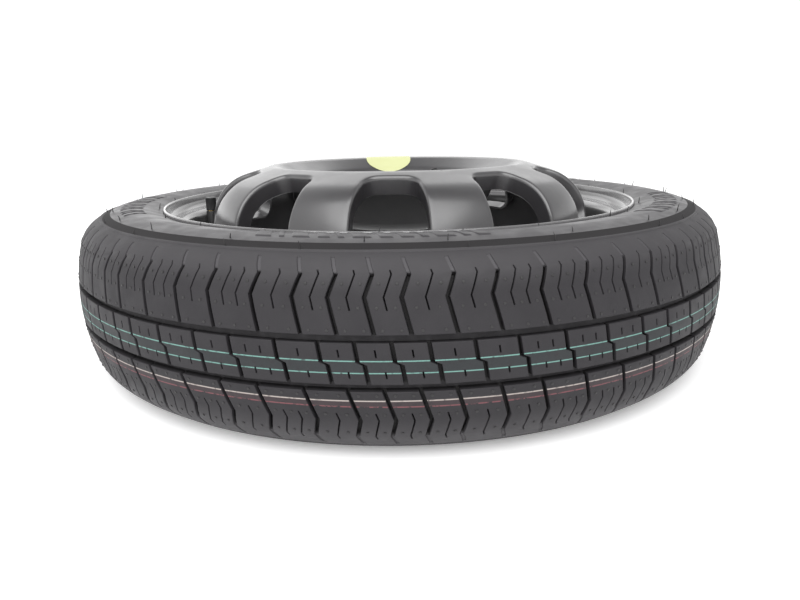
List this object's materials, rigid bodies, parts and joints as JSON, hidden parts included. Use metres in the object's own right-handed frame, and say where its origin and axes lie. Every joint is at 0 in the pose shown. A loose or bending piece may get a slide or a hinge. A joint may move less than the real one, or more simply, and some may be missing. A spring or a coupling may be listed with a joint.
{
  "type": "space saver spare wheel",
  "caption": "Narrow temporary spare: black pressed steel disc with arched windows welded in a drop-centre rim, with a grooved high-pressure tyre and a snap-in valve.",
  "frame": {"origin": "on the floor under the wheel's axis, the wheel lying on its back with the outer face up", "axes": "+Z along the wheel's axis towards its outer face; -Y faces the viewer of the picture"},
  "size_m": [0.5814, 0.5814, 0.1671],
  "materials": {
    "tyre_rubber": "matte, with a faint sheen on the sidewalls",
    "black_paint": "satin to gloss black dip paint",
    "sticker_film": "printed film, slightly glossy",
    "valve_rubber": "smooth moulded rubber",
    "valve_brass": "turned brass",
    "core_steel": "plated steel wire",
    "cap_plastic": "moulded, slightly shiny"
  },
  "bodies": {
    "wheel": {"tyre": "tyre_rubber", "rim": "black_paint", "wheel_disc": "black_paint", "speed_sticker": "sticker_film", "valve_body": "valve_rubber", "valve_stem": "valve_brass", "valve_core_barrel": "valve_brass", "valve_core_seal": "valve_rubber", "valve_core_spring": "core_steel"},
    "cap": {"valve_cap": "cap_plastic", "cap_seal": "valve_rubber"},
    "core_pin": {"valve_core_pin": "core_steel"}
  },
  "joints": [
    {"name": "cap_lift", "type": "slide", "parent": "wheel", "child": "cap", "axis": [0, 0, 1], "range_m": [0, 0.03]},
    {"name": "core_press", "type": "slide", "parent": "wheel", "child": "core_pin", "axis": [0, 0, -1], "range_m": [0, 0.0012], "stiffness_N_per_m": 800, "springref_m": -0.001, "deforming": ["valve_core_spring"]}
  ]
}
